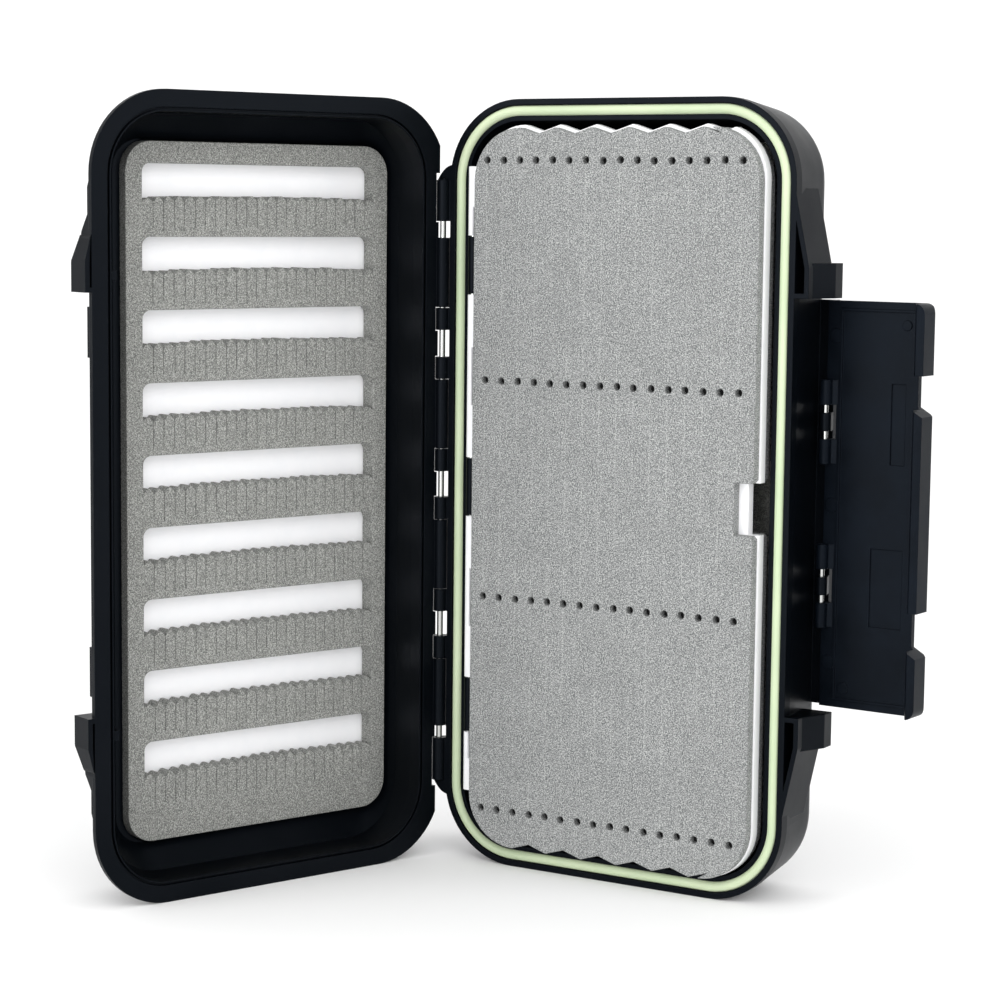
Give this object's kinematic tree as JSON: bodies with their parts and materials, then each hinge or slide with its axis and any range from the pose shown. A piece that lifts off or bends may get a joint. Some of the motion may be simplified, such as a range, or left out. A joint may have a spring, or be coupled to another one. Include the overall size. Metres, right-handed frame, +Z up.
{
  "type": "waterproof fly box",
  "caption": "Long rounded case standing open on its end, with a hinged lid, a seal ring, a swinging foam leaf, slotted lid foam and a wide side clasp.",
  "frame": {"origin": "middle of the footprint at floor height, box standing open on its end", "axes": "+Z up along the hinge pins, -Y towards the side the tray opens to, +X from the main hinge towards the clasp"},
  "size_m": [0.1778, 0.121, 0.195],
  "materials": {
    "shell": "satin black moulded ABS",
    "clasp": "satin black moulded polypropylene",
    "seal": "translucent pale green silicone",
    "pin": "drawn stainless wire",
    "leaf_foam": "closed-cell foam, cut face",
    "lid_foam": "closed-cell foam, cut face",
    "white_sheet": "smooth white sheet"
  },
  "bodies": {
    "tray": {"base_shell": "shell", "o_ring_seal": "seal", "main_hinge_pin": "pin", "leaf_hinge_pin": "pin", "clasp_pin_upper": "pin", "clasp_pin_lower": "pin", "base_backing_sheet": "white_sheet", "base_foam_insert": "lid_foam"},
    "lid": {"lid_shell": "shell", "lid_backing_sheet": "white_sheet", "lid_foam_insert": "lid_foam"},
    "leaf": {"leaf_plate": "white_sheet", "leaf_front_foam": "leaf_foam", "leaf_back_foam": "leaf_foam"},
    "latch": {"clasp": "clasp"}
  },
  "joints": [
    {"name": "lid_hinge", "type": "hinge", "parent": "tray", "child": "lid", "pos_m": [-0.03886, 0.03601, 0.0975], "axis": [0, 0, 1], "range_deg": [-69, 110.2]},
    {"name": "leaf_hinge", "type": "hinge", "parent": "tray", "child": "leaf", "pos_m": [-0.02976, 0.03601, 0.0975], "axis": [0, 0, 1], "range_deg": [-4, 0]},
    {"name": "clasp_hinge", "type": "hinge", "parent": "tray", "child": "latch", "pos_m": [0.06164, 0.05101, 0.0975], "axis": [0, 0, 1], "range_deg": [-87, 5]}
  ]
}
